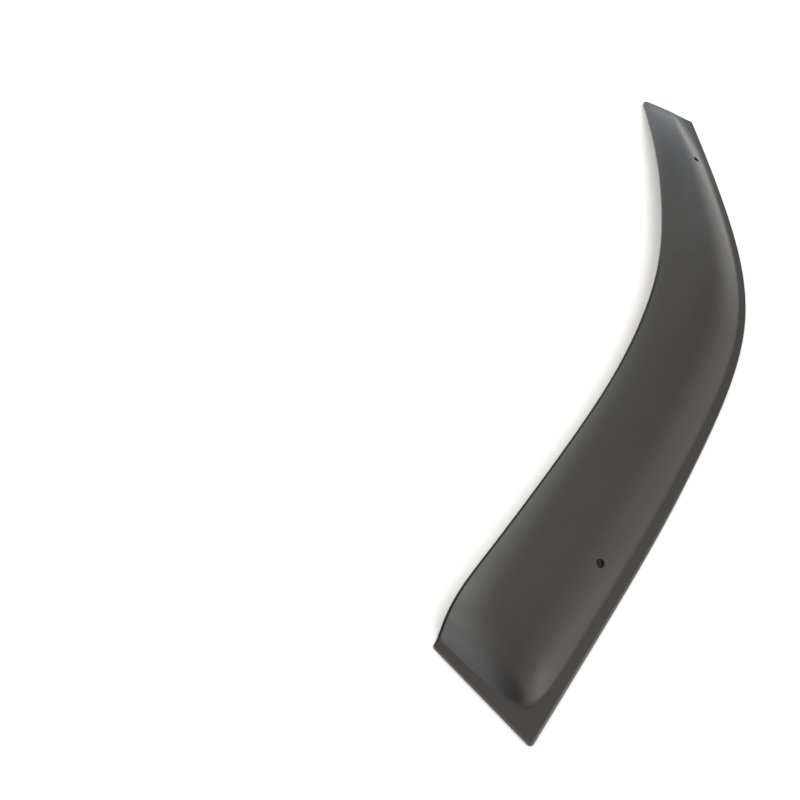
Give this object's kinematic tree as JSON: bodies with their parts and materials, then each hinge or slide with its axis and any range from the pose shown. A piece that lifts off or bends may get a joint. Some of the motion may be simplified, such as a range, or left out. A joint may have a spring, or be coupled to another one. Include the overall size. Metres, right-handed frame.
{
  "type": "window rain deflector",
  "caption": "Curved smoked visor sheet for a car's front door window, with a flat bonding flange along its convex edge and rear end and fixing holes through its rising wall.",
  "frame": {"origin": "centre of the plan box, on the plane of the flange's underside, the face that is bonded to the door frame", "axes": "+X along the length towards the wide rear end, +Y across towards the bonded convex edge, +Z out from the glass"},
  "size_m": [0.926, 0.2098, 0.0297],
  "materials": {
    "smoked_acrylic": "glossy dark smoked acrylic, seen as near black"
  },
  "bodies": {
    "root": {"rain_deflector": "smoked_acrylic"}
  },
  "joints": []
}
